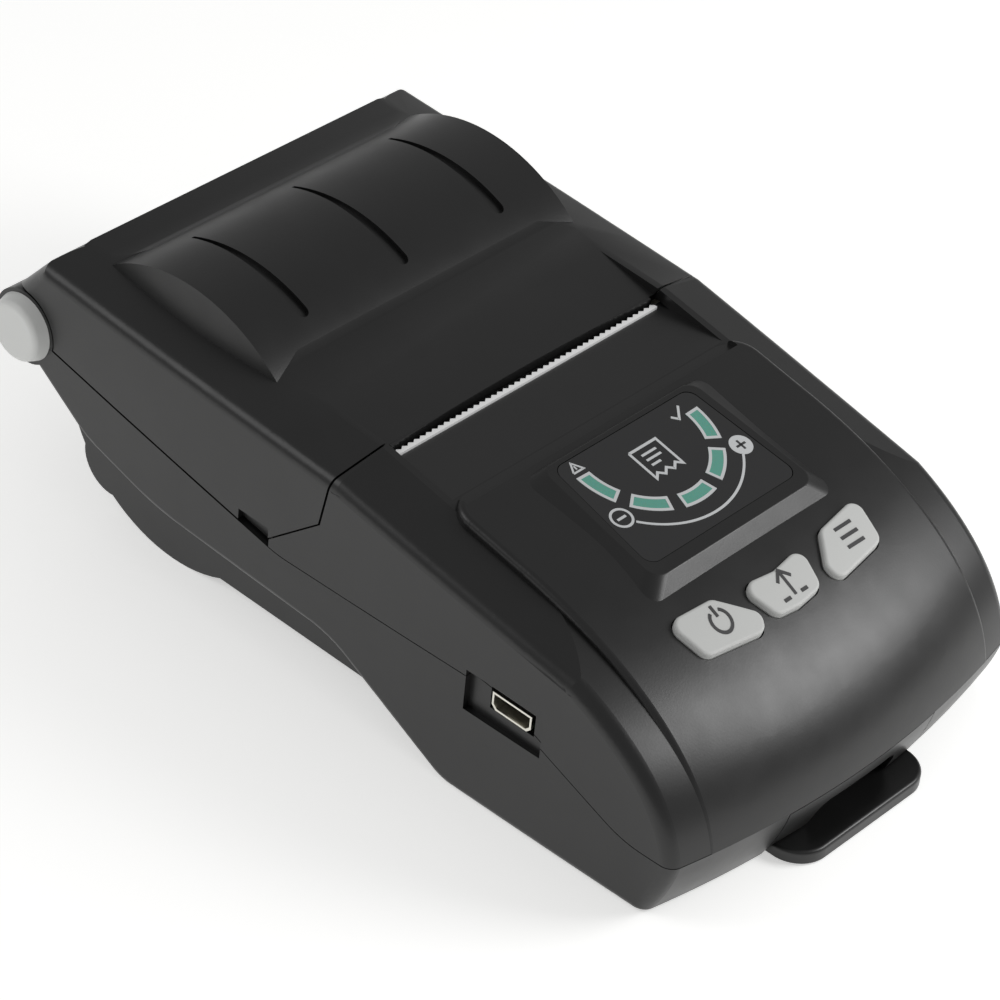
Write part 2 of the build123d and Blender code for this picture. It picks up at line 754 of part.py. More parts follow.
band_outer = across(band_section, half, 0.0) & between_sides(0.0)
band_corners = edges_where(band_outer, lambda c: abs(c.X) > side_at(c.Y) - 0.3 and c.Y < -60)
band_outer = fillet(band_corners, edge_radius)
flanks = flank_slab(0.0, -half, half) & band_outer
front_rim = [e for e in flanks.edges() if e.center().Y < -foot_rear and e.center().Z < 0.01]
flanks = fillet(front_rim, bottom_radius)
belly = belly_slab(0.0, well_half, arch_rear[1] + case_wall, well_top)
belly_room = belly_slab(case_wall, well_half - case_wall, seam_crest + 9.0, well_top + 1.0)
flank_room = flank_slab(case_wall, -inner_half, inner_half) & across(band_section, inner_half, case_wall)
flank_room &= between_sides(case_wall)
above_well_front = block(-50, 50, 10.0, well_side_rear, 0, well_top)
base = (flanks & below_base) + (belly & (below_base + above_well_front))
base -= flank_room - belly
base -= belly_room
base -= rod(barrel_radius + moving_gap, -ear_inner, ear_inner, hinge_y, hinge_z)
for side in (-1, 1):
    ear = rod(ear_radius, side * ear_inner, side * ear_outer, hinge_y, hinge_z)
    brace = [(hinge_y - ear_radius, seam_dip + 4.0), (hinge_y - 2.0, hinge_z - 6.0), (hinge_y, hinge_z),
             (hinge_y - ear_radius, hinge_z - 1.5)]
    brace = side_slab(brace, side * ear_inner, side * half)
    base += ear + (brace & flanks & below_base)
    base -= rod(pin_radius + running, side * (ear_inner - 1.0), side * (ear_outer + 1.0), hinge_y, hinge_z)
for side in (-1, 1):
    for y in cheek_places:
        cheek = block(side * cheek_inner, side * (well_half - case_wall + 0.5), y - 0.6, y + 0.6, 0.0,
                      cheek_top)
        base += cheek & belly_slab(case_wall - 0.5, well_half, roll_z, well_top)

bay_outer = bay_half + bay_wall
bay = block(-bay_outer, bay_outer, -bay_front - bay_wall, bay_rear + bay_wall, 0.0, bay_ceiling)
base += bay & (flanks + belly)
base -= block(-bay_half, bay_half, -bay_front, bay_rear, -5.0, bay_ceiling - ceiling_thick)
base -= block(-bay_half, bay_half, -bay_front - bay_wall - 0.1, bay_rear, -5.0,
              door_bottom + door_thick + door_gap)
base -= block(-door_half - door_gap, door_half + door_gap, -90.0, -bay_front - bay_wall, -5.0, 40.0)
for side in (-1, 1):
    base += block(side * rail_inner, side * (bay_half + 0.3), -bay_front + 2.0, -foot_rear, rail_bottom,
                  door_bottom - 0.15)
for x, y in screw_places:
    post = up_from(post_radius, 0.0, 40.0, x, y) & flanks & below_base
    base += post
    head_seat = underside(y + screw_head_radius) + screw_head_height + 0.2
    base -= up_from(screw_radius + running, -1.0, 40.0, x, y)
    base -= up_from(screw_head_radius + 0.2, -1.0, head_seat, x, y)
for x in (-frame_screw_x, frame_screw_x):
    base += up_from(frame_post_radius, belly_bottom + 1.0, bay_ceiling, x, frame_screw_y)
    base -= up_from(screw_radius + running, frame_screw_tip - 0.5, 40.0, x, frame_screw_y)
for x, y in ((-14.0, -54.0), (14.0, -54.0), (-14.0, -16.0), (14.0, -16.0)):
    base += up_from(2.0, bay_ceiling - 0.5, pcb_bottom, x, y)
base -= socket_opening + recess
keep("base_shell", base)


# Battery door with the thumb notch, and the belt clip

door_top = seam_front - screwed_gap / 2 - door_gap
door = band_outer & block(-door_half, door_half, -90.0, door_rear, door_bottom, door_bottom + door_thick)
door_front = (band_outer - across(band_section, half, case_wall)) & block(
    -door_half, door_half, -90.0, -60.0, door_bottom, door_top)
thumb_back = -nose_reach - nose_bow + thumb_depth
backing = band_outer & block(-thumb_half - 1.5, thumb_half + 1.5, -90.0, thumb_back + 1.5, door_bottom,
                             thumb_top + 1.5)
thumb_outline = Polyline((-thumb_half, door_bottom - 2.0), (thumb_half, door_bottom - 2.0),
                         (thumb_half, thumb_top), (-thumb_half, thumb_top), close=True)
thumb_face = make_face(Plane.XZ.offset(90.0) * thumb_outline)
upper_corners = [v for v in thumb_face.vertices() if v.Z > thumb_top - 0.1]
thumb_face = fillet(upper_corners, thumb_corner)
thumb = extrude(thumb_face, 90.0 + thumb_back, dir=(0, 1, 0))
door += door_front + backing
door -= thumb
for side in (-1, 1):
    ear_span = (side * (clip_barrel_half + 0.3), side * (clip_barrel_half + 2.3))
    door += rod(clip_barrel, ear_span[0], ear_span[1], clip_pin_y, clip_pin_z)
    door += block(*ear_span, clip_pin_y - clip_barrel, clip_pin_y + clip_barrel, clip_pin_z,
                  door_bottom + 0.5)
door -= rod(clip_pin_radius, -clip_half, clip_half, clip_pin_y, clip_pin_z)
keep("battery_door", door)

clip_rear = clip_pin_y - clip_barrel - 0.6
plate = block(-clip_half, clip_half, -clip_reach, clip_rear, clip_bottom, clip_bottom + clip_thick)
front_corners = edges_where(plate, lambda c: c.Y < -clip_reach + 0.01 and abs(c.X) > clip_half - 0.01)
plate = fillet(front_corners, clip_corner)
clip_top = clip_bottom + clip_thick
plate = fillet(edges_where(plate, lambda c: c.Y < clip_rear - 1.0 and c.Z > clip_top - 0.01), clip_edge)
clip = plate + rod(clip_barrel, -clip_barrel_half, clip_barrel_half, clip_pin_y, clip_pin_z)
clip += block(-clip_barrel_half, clip_barrel_half, clip_rear - 1.0, clip_pin_y, clip_bottom,
              clip_pin_z + running)
clip -= rod(clip_pin_radius + running, -clip_half, clip_half, clip_pin_y, clip_pin_z)
clip -= block(-spring_room, spring_room, clip_rear + 0.1, 0.0, -1.0, 5.0)
keep("belt_clip", clip)
pin_end = clip_barrel_half + 2.3
keep("clip_pin", rod(clip_pin_radius, -pin_end, pin_end, clip_pin_y, clip_pin_z))


def coil(radius, wire, turns, length):
    # a spring that starts at the origin and runs along z
    path = Helix(length / turns, length, radius)
    profile = Plane(origin=path @ 0, z_dir=path % 0) * Circle(wire)
    return sweep(profile, path=path)


clip_coil = coil(clip_pin_radius + 0.1 + clip_spring_wire, clip_spring_wire, 5, 2 * spring_room - 1.2)
keep("clip_spring", Pos(-spring_room + 0.6, clip_pin_y, clip_pin_z) * Rot(0, 90, 0) * clip_coil)


# Hinge caps with their pins

for name, side in (("hinge_cap_left", -1), ("hinge_cap_right", 1)):
    cap = Cone(cap_radius, cap_end_radius, cap_height)
    cap = Pos(side * (ear_outer + cap_height / 2), hinge_y, hinge_z) * Rot(0, side * 90, 0) * cap
    cap = fillet(edges_where(cap, lambda c: abs(c.X) > ear_outer + cap_height - 0.01), cap_dome)
    cap += rod(pin_radius, side * (ear_outer - pin_length), side * (ear_outer + 0.5), hinge_y, hinge_z)
    keep(name, cap)


# Display label, lamps and keys

label = in_label_plane(label_face(0.0, label_corner), -0.05, label_thick - 0.05)
keep("display_label", label - lamps(0.05, 0.0, 2.0))
lamp_lights = Part()
lamp_chips = Part()
led_height = 0.7
for i in range(lamp_count):
    angle = radians(-90.0 + (i - (lamp_count - 1) / 2) * lamp_pitch)
    reach = (lamp_inner + lamp_outer) / 2
    place = label_plane * Pos(reach * cos(angle), lamp_arc_y + reach * sin(angle), 0)
    spot = Vector(*place.position)
    above_board = (spot - Vector(*board_plane.origin)).dot(Vector(*key_axis))
    lean = Vector(*label_normal).dot(Vector(*key_axis))
    depth = (above_board - board_thick - led_height - 0.3) / lean
    lamp_lights += in_label_plane(lamp_face(i, 0.0), -0.02, depth - 1.2)
    local = board_plane.to_local_coords(spot - Vector(*label_normal) * depth)
    chip = Box(1.6, 1.2, led_height)
    lamp_chips += board_plane * Pos(local.X, local.Y, board_thick + led_height / 2) * chip
keep("led_windows", lamp_lights)
keep("status_leds", lamp_chips)

raised_console = across(console_section, console_half, -key_rise)
under_wall = across(console_section, console_half - case_wall, case_wall + 0.1)
under_flange = across(console_section, console_half - case_wall, case_wall + 0.1 + key_flange)
switches = Part()
for name, points in key_outlines.items():
    key = (key_prism(points, 0.0) & raised_console) - under_wall
    key = fillet(max(key.faces(), key=lambda f: f.center().Z).edges(), key_edge)
    key += (key_prism(points, key_flange) & under_wall) - under_flange
    middle = key_middles[name]
    local = board_plane.to_local_coords(Vector(middle[0], middle[1] + key_switch_shift, board_z))
    switch_top = board_thick + switch_body[2] + switch_stem
    pusher = board_plane * Pos(local.X, local.Y, switch_top + key_travel + pusher_gap) * Cylinder(
        switch_stem_radius, 9.0, align=(Align.CENTER, Align.CENTER, Align.MIN))
    key += pusher & under_wall
    keep(name, key)
    body = Pos(local.X, local.Y, board_thick + switch_body[2] / 2) * Box(*switch_body)
    body += Pos(local.X, local.Y, board_thick + switch_body[2]) * Cylinder(
        switch_stem_radius, switch_stem, align=(Align.CENTER, Align.CENTER, Align.MIN))
    switches += board_plane * body
keep("key_switches", switches)
key_board = board_plane * Pos(0, 0, board_thick / 2) * Box(2 * board_half, board_length, board_thick)
keep("key_board", key_board)


# Print mechanism

def gear(teeth, phase, x0, x1, bore, y, z):
    # straight flanked teeth; phase is the angle of the first tooth's middle, from +y towards +z
    pitch_radius = gear_module * teeth / 2
    tip = pitch_radius + gear_module - 0.05
    root = pitch_radius - 1.25 * gear_module
    points = []
    for k in range(teeth):
        middle = radians(phase + 360.0 * k / teeth)
        for radius, share in ((root, -0.36), (pitch_radius, -0.225), (tip, -0.11), (tip, 0.11),
                              (pitch_radius, 0.225), (root, 0.36)):
            angle = middle + share * 2 * pi / teeth
            points.append((radius * cos(angle), radius * sin(angle)))
    face = make_face(Polyline(*points, close=True)) - Circle(bore)
    return extrude(Plane.YZ.offset(x0) * Pos(y, z) * face, x1 - x0, dir=(1, 0, 0))


gear_end = gear_x + gear_width
idler_z = platen_z - gear_module * (platen_teeth + idler_teeth) / 2
pinion_y = platen_y - gear_module * (idler_teeth + pinion_teeth) / 2
motor_z = idler_z

frame = Part()
for side in (-1, 1):
    x0 = frame_half - frame_sheet if side > 0 else -frame_half
    plate = block(x0, x0 + frame_sheet, frame_front, frame_rear, bay_ceiling, frame_top)
    notch = [(platen_y - notch_half, platen_z), (platen_y + notch_half, platen_z),
             (platen_y + notch_half + 1.4, frame_top + 1.0), (platen_y - notch_half, frame_top + 1.0)]
    plate -= side_slab(notch, x0 - 1.0, x0 + 2.0) + rod(notch_half, x0 - 1.0, x0 + 2.0, platen_y, platen_z)
    plate -= rod(head_pin_radius + running, x0 - 1.0, x0 + 2.0, head_pin_y, head_pin_z)
    frame += plate
frame += block(-frame_half, frame_half, frame_front, frame_rear, bay_ceiling, bay_ceiling + frame_sheet)
frame += block(-frame_half, frame_half, frame_front, frame_front + frame_sheet, spring_wall_bottom, frame_top)
frame += block(-frame_half, frame_half, frame_front, flange_rear, frame_top - 0.7, frame_top)
frame -= rod(pinion_shaft + 0.6, 20.0, 40.0, pinion_y, motor_z)
frame -= rod(axle_radius, 20.0, 40.0, platen_y, idler_z)
for x in (-frame_screw_x, frame_screw_x):
    frame -= up_from(screw_radius + running, 10.0, 20.0, x, frame_screw_y)
keep("mechanism_frame", frame)

motor_inner = frame_half - frame_sheet - motor_length
motor = rod(motor_radius, motor_inner, frame_half - frame_sheet, pinion_y, motor_z)
motor += rod(2.4, motor_inner - 1.2, motor_inner, pinion_y, motor_z)
motor -= rod(pinion_shaft + running, frame_half - frame_sheet - 4.6, 40.0, pinion_y, motor_z)
keep("stepper_motor", motor)
keep("motor_pinion", gear(pinion_teeth, 0.0, gear_x, gear_end, 0.5, pinion_y, motor_z)
     + rod(pinion_shaft, frame_half - frame_sheet - 4.5, gear_end + 0.2, pinion_y, motor_z))
# the pinion has a tooth towards the idler, so the idler has a gap there; the platen's gear likewise
idler_phase = 180.0 + 180.0 / idler_teeth
above_idler = (90.0 - idler_phase) % (360.0 / idler_teeth)
platen_phase = -90.0 + above_idler * idler_teeth / platen_teeth + 180.0 / platen_teeth
keep("idler_gear", gear(idler_teeth, idler_phase, gear_x, gear_end, axle_radius + running, platen_y, idler_z))
keep("idler_axle", rod(axle_radius, frame_half - frame_sheet, gear_end + 0.3, platen_y, idler_z)
     + rod(axle_radius + 0.8, gear_end + 0.2, gear_end + 0.9, platen_y, idler_z))
gear_bore = shaft_radius + press_fit
keep("platen_gear", gear(platen_teeth, platen_phase, gear_x, gear_end, gear_bore, platen_y, platen_z))
keep("platen_shaft", rod(shaft_radius, -gear_x - 0.7, gear_end + 0.3, platen_y, platen_z))
keep("platen_roller", rod(platen_radius, -platen_half, platen_half, platen_y, platen_z)
     - rod(shaft_radius, -40, 40, platen_y, platen_z))
bushings = both_sides(rod(bushing_radius, platen_half + 0.4, frame_half + 0.2, platen_y, platen_z)
                      - rod(shaft_radius + running, 20, 40, platen_y, platen_z))
keep("platen_bushings", bushings)

hang = tray_lip - cover_plate
arm_slope = (roof_height(plate_rear) - cover_plate - hang) / (plate_rear - lip_y)
bracket_top = [(bracket_front, hang + (bracket_front - lip_y) * arm_slope),
               (bracket_rear, hang + (bracket_rear - lip_y) * arm_slope),
               (bracket_rear, hang + (bracket_rear - lip_y) * arm_slope - 0.8),
               (bracket_front, hang + (bracket_front - lip_y) * arm_slope - 0.8)]
bracket = side_slab(bracket_top, -arm_outer, arm_outer)
arm_outline = [(bracket_front, platen_z), (bracket_rear, platen_z), (bracket_rear, bracket_top[2][1] + 0.4),
               (bracket_front, bracket_top[3][1] + 0.4)]
for side in (-1, 1):
    x0, x1 = sorted((side * arm_inner, side * arm_outer))
    arm = side_slab(arm_outline, x0, x1) + rod((bracket_rear - bracket_front) / 2, x0, x1, platen_y, platen_z)
    bracket += arm - rod(bushing_radius, x0 - 1, x1 + 1, platen_y, platen_z)
keep("platen_bracket", bracket)

keep("print_head", block(-head_half, head_half, head_rear - ceramic_thick, head_rear, head_bottom, head_top))
heatsink = block(-head_half, head_half, head_rear - ceramic_thick - heatsink_thick, head_rear - ceramic_thick,
                 head_bottom, head_top)
heatsink += both_sides(rod(head_pin_radius, head_half - 0.5, frame_half, head_pin_y, head_pin_z))
keep("head_heatsink", heatsink)
spring_length = head_rear - ceramic_thick - heatsink_thick - 0.3 - (frame_front + frame_sheet)
head_coil = coil(1.7, 0.25, 4, spring_length - 0.5)
head_springs = Part()
for x in (-15.0, 0.0, 15.0):
    head_springs += Pos(x, frame_front + frame_sheet + 0.25, 35.0) * Rot(-90, 0, 0) * head_coil
keep("head_springs", head_springs)
cable_path = [(-2.75, 33.0), (-2.75, 29.0), (-6.5, 22.5), (-11.7, pcb_bottom + pcb_thick + 1.5)]
cable_face = make_face(Plane.YZ.offset(-cable_half) * Polyline(
    *cable_path, *[(y - 0.15, z + 0.2) for y, z in reversed(cable_path)], close=True))
keep("head_cable", extrude(cable_face, 2 * cable_half, dir=(1, 0, 0)))

tear_root = tear_tip - tear_tooth
tear_pitch = tear_length / tear_count
blade = block(-tear_length / 2, tear_length / 2, tear_front, tear_root, tear_top_z - tear_sheet, tear_top_z)
teeth = [(-tear_length / 2, tear_root)]
for k in range(tear_count):
    left = -tear_length / 2 + k * tear_pitch
    teeth += [(left + tear_pitch / 2, tear_tip), (left + tear_pitch, tear_root)]
teeth += [(tear_length / 2, tear_root - 0.1), (-tear_length / 2, tear_root - 0.1)]
tear_bar = blade + top_slab(teeth, tear_top_z - tear_sheet, tear_top_z)
tear_bar += block(-tear_length / 2, tear_length / 2, tear_front, tear_front + tear_sheet, frame_top,
                  tear_top_z - tear_sheet)
keep("tear_bar", tear_bar)
sensor_rear = roll_y - well_radius
sensor = block(-4.0, 4.0, sensor_rear - 2.0, sensor_rear, well_top - 6.0, well_top - 1.5)
keep("paper_sensor", sensor - block(-1.2, 1.2, 0.0, sensor_rear - 1.2, well_top - 4.5, well_top - 1.0))


# Paper roll, which lies on the bottom of the well

paper_z = roll_z - (well_radius - case_wall - roll_radius) + roll_gap
keep("paper_roll", rod(roll_radius, -paper_width / 2, paper_width / 2, roll_y, paper_z)
     - rod(core_radius, -40, 40, roll_y, paper_z))
keep("paper_core", rod(core_radius, -paper_width / 2, paper_width / 2, roll_y, paper_z)
     - rod(core_bore, -40, 40, roll_y, paper_z))


# Electronics, battery and screws

pcb_top = pcb_bottom + pcb_thick
main_board = block(-pcb_half, pcb_half, pcb_front, pcb_rear, pcb_bottom, pcb_top)
tongue_left = case_wall + 0.6 - side_at(socket_y - 6.0)
main_board += block(tongue_left, -pcb_half + 1.0, socket_y - 6.0, socket_y + 6.0, pcb_bottom, pcb_top)
keep("main_board", main_board)
chip_boxes = [(0.0, -37.0, 10.0, 10.0, 1.2), (-13.0, -22.0, 6.0, 5.0, 1.0), (10.0, -49.0, 5.0, 4.0, 1.5),
              (-12.0, -50.0, 6.0, 6.0, 2.4), (-20.0, -22.0, 4.0, 4.0, 1.6), (0.0, -13.2, 23.0, 2.6, 2.0),
              (22.0, -15.0, 8.0, 4.0, 3.0), (3.0, -25.0, 7.0, 3.6, 1.0), (-24.0, -48.0, 5.0, 3.0, 1.2)]
chips = Part() + [block(x - a / 2, x + a / 2, y - b / 2, y + b / 2, pcb_top, pcb_top + c)
                  for x, y, a, b, c in chip_boxes]
keep("board_chips", chips)
radio_top = pcb_top + radio_board[2]
radio = Pos(radio_x, radio_y, pcb_top + radio_board[2] / 2) * Box(*radio_board)
radio += Pos(radio_x, radio_y - radio_can_shift, radio_top + radio_can[2] / 2) * Box(*radio_can)
keep("radio_module", radio)

socket_left = recess_floor - 0.3
socket_mouth = Pos(socket_left + socket_depth / 2, socket_y, socket_z) * Box(
    socket_depth, socket_width, socket_height)
along_socket = socket_mouth.edges().filter_by(Axis.X)
socket_shell = chamfer(along_socket.sort_by(Axis.Z)[:2], 0.8)
socket_hole = block(socket_left - 1, socket_left + socket_depth - 0.6, socket_y - socket_width / 2 + 0.35,
                    socket_y + socket_width / 2 - 0.35, socket_z - socket_height / 2 + 0.35,
                    socket_z + socket_height / 2 - 0.35)
socket_hole = chamfer(socket_hole.edges().filter_by(Axis.X).sort_by(Axis.Z)[:2], 0.7)
socket = socket_shell - socket_hole
socket += block(socket_left + 1.2, socket_left + socket_depth - 0.4, socket_y - 1.9, socket_y + 1.9,
                socket_z + 0.1, socket_z + 0.7)
keep("usb_connector", socket)

cell_front = -bay_front + 0.5
cell_bottom = door_bottom + door_thick + 0.2
cell = block(-battery[0] / 2, battery[0] / 2, cell_front, cell_front + battery[1], cell_bottom,
             cell_bottom + battery[2])
cell = fillet(cell.edges().filter_by(Axis.Z), 1.5)
keep("battery_pack", cell)
contacts = block(-10.0, 10.0, bay_rear - 0.8, bay_rear, 6.0, 12.5)
for x in (-6.0, 0.0, 6.0):
    cell_rear = cell_front + battery[1]
    strip = [(bay_rear - 0.8, 11.0), (cell_rear + 0.3, 9.4), (bay_rear - 1.6, 7.2), (bay_rear - 1.6, 7.6),
             (cell_rear + 0.9, 9.4), (bay_rear - 0.8, 10.5)]
    contacts += side_slab(strip, x - 0.8, x + 0.8)
keep("battery_contacts", contacts)


def screw(x, y, head_z, tip, head_up):
    # a pan head with a cross recess; the head lies at head_z and the shank runs to tip
    top = head_z + (screw_head_height if head_up else -screw_head_height)
    low, high = sorted((head_z, top))
    head = up_from(screw_head_radius, low, high, x, y)
    recess_z = top - 0.35 if head_up else top + 0.35
    head -= Pos(x, y, recess_z) * (Box(2.2, 0.5, 0.8) + Box(0.5, 2.2, 0.8))
    low, high = sorted((head_z, tip))
    return head + up_from(screw_radius, low, high, x, y)


case_screws = Part()
for x, y in screw_places:
    seat = underside(y + screw_head_radius) + screw_head_height + 0.2
    case_screws += screw(x, y, seat, seam_height(y) + screw_bite, False)
keep("case_screws", case_screws)
frame_screws = Part()
for x in (-frame_screw_x, frame_screw_x):
    frame_screws += screw(x, frame_screw_y, bay_ceiling + frame_sheet, frame_screw_tip, True)
keep("mechanism_screws", frame_screws)

os.makedirs("parts", exist_ok=True)
for name, shape in nodes.items():
    whole = shape if isinstance(shape, Part) else Part() + shape
    print(name, shape.is_valid, len(shape.solids()), round(shape.volume, 1))
    export_step(Pos(0, frame_shift, 0) * whole, f"parts/{name}.step")
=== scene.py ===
import json
import math

import bmesh
import bpy
import numpy as np
from mathutils import Matrix, Vector
from mathutils.bvhtree import BVHTree


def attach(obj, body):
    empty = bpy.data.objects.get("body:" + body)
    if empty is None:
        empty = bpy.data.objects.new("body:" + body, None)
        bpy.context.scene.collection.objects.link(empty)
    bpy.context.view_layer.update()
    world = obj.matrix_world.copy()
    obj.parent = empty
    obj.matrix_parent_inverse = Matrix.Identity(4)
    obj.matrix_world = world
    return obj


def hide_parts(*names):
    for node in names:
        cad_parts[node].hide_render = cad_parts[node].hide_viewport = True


# A portable receipt printer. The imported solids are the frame; this file gives them their
# finishes, puts a smoother copy in place of the paper cover, adds the printed marks and sets up
# the studio. Sizes are in mm unless they say so.
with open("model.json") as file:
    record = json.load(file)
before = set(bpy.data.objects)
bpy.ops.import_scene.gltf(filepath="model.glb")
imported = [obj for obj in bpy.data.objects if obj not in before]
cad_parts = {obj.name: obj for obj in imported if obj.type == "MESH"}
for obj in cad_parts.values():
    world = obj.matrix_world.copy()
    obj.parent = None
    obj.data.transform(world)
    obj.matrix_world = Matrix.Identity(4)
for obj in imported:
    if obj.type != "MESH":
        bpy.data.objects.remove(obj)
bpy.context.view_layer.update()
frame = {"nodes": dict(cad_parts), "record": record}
nodes = frame["nodes"]
mm = 0.001

# Camera: matched to the photograph, looking down on the key end from the left
view = {
    "place": (-385.592, -315.621, 405.876),
    "azimuth": 50.481,    # degrees from +y towards +x
    "down": 37.957,
    "roll": 6.006,
    "lens": 144.86,
    "sensor": 36.0,
    "nearest": 10.0,      # nothing closer than this is drawn
}


def makeCamera(cfg):
    turn, down, roll = (math.radians(cfg[k]) for k in ("azimuth", "down", "roll"))
    level = math.cos(down)
    ahead = Vector((math.sin(turn) * level, math.cos(turn) * level, -math.sin(down)))
    right = Vector((math.cos(turn), -math.sin(turn), 0.0))
    up = right.cross(ahead)
    tiltedRight = right * math.cos(roll) + up * math.sin(roll)
    tiltedUp = up * math.cos(roll) - right * math.sin(roll)
    data = bpy.data.cameras.new("camera")
    data.lens = cfg["lens"]
    data.sensor_width = cfg["sensor"]
    data.clip_start = cfg["nearest"] * mm
    camera = bpy.data.objects.new("camera", data)
    bpy.context.scene.collection.objects.link(camera)
    spin = Matrix((tiltedRight, tiltedUp, -ahead)).transposed()
    camera.matrix_world = Matrix.Translation(Vector(cfg["place"]) * mm) @ spin.to_4x4()
    bpy.context.scene.camera = camera


makeCamera(view)
bpy.context.scene.view_settings.view_transform = "Standard"
print("camera set")


# Materials

noiseLow, noiseHigh = 0.3, 0.7    # the span of a noise texture's values that a mottle stretches


def linear(code):
    # sRGB hex text to linear light, by the standard curve
    values = [int(code[i:i + 2], 16) / 255 for i in (1, 3, 5)]
    return tuple(v / 12.92 if v <= 0.04045 else ((v + 0.055) / 1.055) ** 2.4 for v in values) + (1.0,)


def addNode(tree, kind, settings=None, links=None):
    # one node: settings are attributes or socket values, links are (socket, output) pairs
    node = tree.nodes.new(kind)
    for key, value in (settings or {}).items():
        if isinstance(key, str) and hasattr(node, key):
            setattr(node, key, value)
        else:
            node.inputs[key].default_value = value
    for socket, output in (links or {}).items():
        tree.links.new(output, node.inputs[socket])
    return node


def newMaterial(name, shader):
    material = bpy.data.materials.new(name)
    material.use_nodes = True
    tree = material.node_tree
    surface = tree.nodes["Principled BSDF"]
    for key, value in shader.items():
        surface.inputs[key].default_value = linear(value) if isinstance(value, str) else value
    return material, tree, surface


def grain(tree, surface, size, depth):
    # fine noise in the surface's height: size is the grain, depth its height
    place = addNode(tree, "ShaderNodeTexCoord").outputs["Object"]
    noise = addNode(tree, "ShaderNodeTexNoise",
                    {"Scale": 1.0 / (size * mm), "Detail": 3.0, "Roughness": 0.6}, {"Vector": place})
    bump = addNode(tree, "ShaderNodeBump", {"Strength": 1.0, "Distance": depth * mm},
                   {"Height": noise.outputs["Fac"]})
    tree.links.new(bump.outputs["Normal"], surface.inputs["Normal"])
    return place


def mottle(tree, surface, place, size, low, high, socket):
    # slow variation of a shader value between low and high over patches of this size
    noise = addNode(tree, "ShaderNodeTexNoise", {"Scale": 1.0 / (size * mm), "Detail": 4.0},
                    {"Vector": place}).outputs["Fac"]
    if isinstance(low, str):
        ramp = addNode(tree, "ShaderNodeValToRGB", {}, {"Fac": noise})
        for stop, position, code in zip(ramp.color_ramp.elements, (noiseLow, noiseHigh), (low, high)):
            stop.position = position
            stop.color = linear(code)
        tree.links.new(ramp.outputs["Color"], surface.inputs[socket])
        return
    ramp = addNode(tree, "ShaderNodeMapRange", {"From Min": noiseLow, "From Max": noiseHigh,
                                                "To Min": low, "To Max": high}, {"Value": noise})
    tree.links.new(ramp.outputs["Result"], surface.inputs[socket])


shell = {
    "shader": {"Base Color": "#131313", "Roughness": 0.34, "IOR": 1.53},
    "grain": (0.35, 0.008),                   # size and depth of the sparked grain
    "colours": (14.0, "#111111", "#151515"),  # size of the patches, darkest and palest
    "sheen": (6.0, 0.32, 0.37),               # size of the patches, lowest and highest roughness
}


def sparkedPlastic(cfg):
    # black ABS from a spark-eroded mould: an even fine grain that breaks up highlights
    material, tree, surface = newMaterial("black ABS, spark eroded", cfg["shader"])
    place = grain(tree, surface, *cfg["grain"])
    mottle(tree, surface, place, *cfg["colours"], "Base Color")
    mottle(tree, surface, place, *cfg["sheen"], "Roughness")
    return material


materials = {"shell_black": sparkedPlastic(shell)}

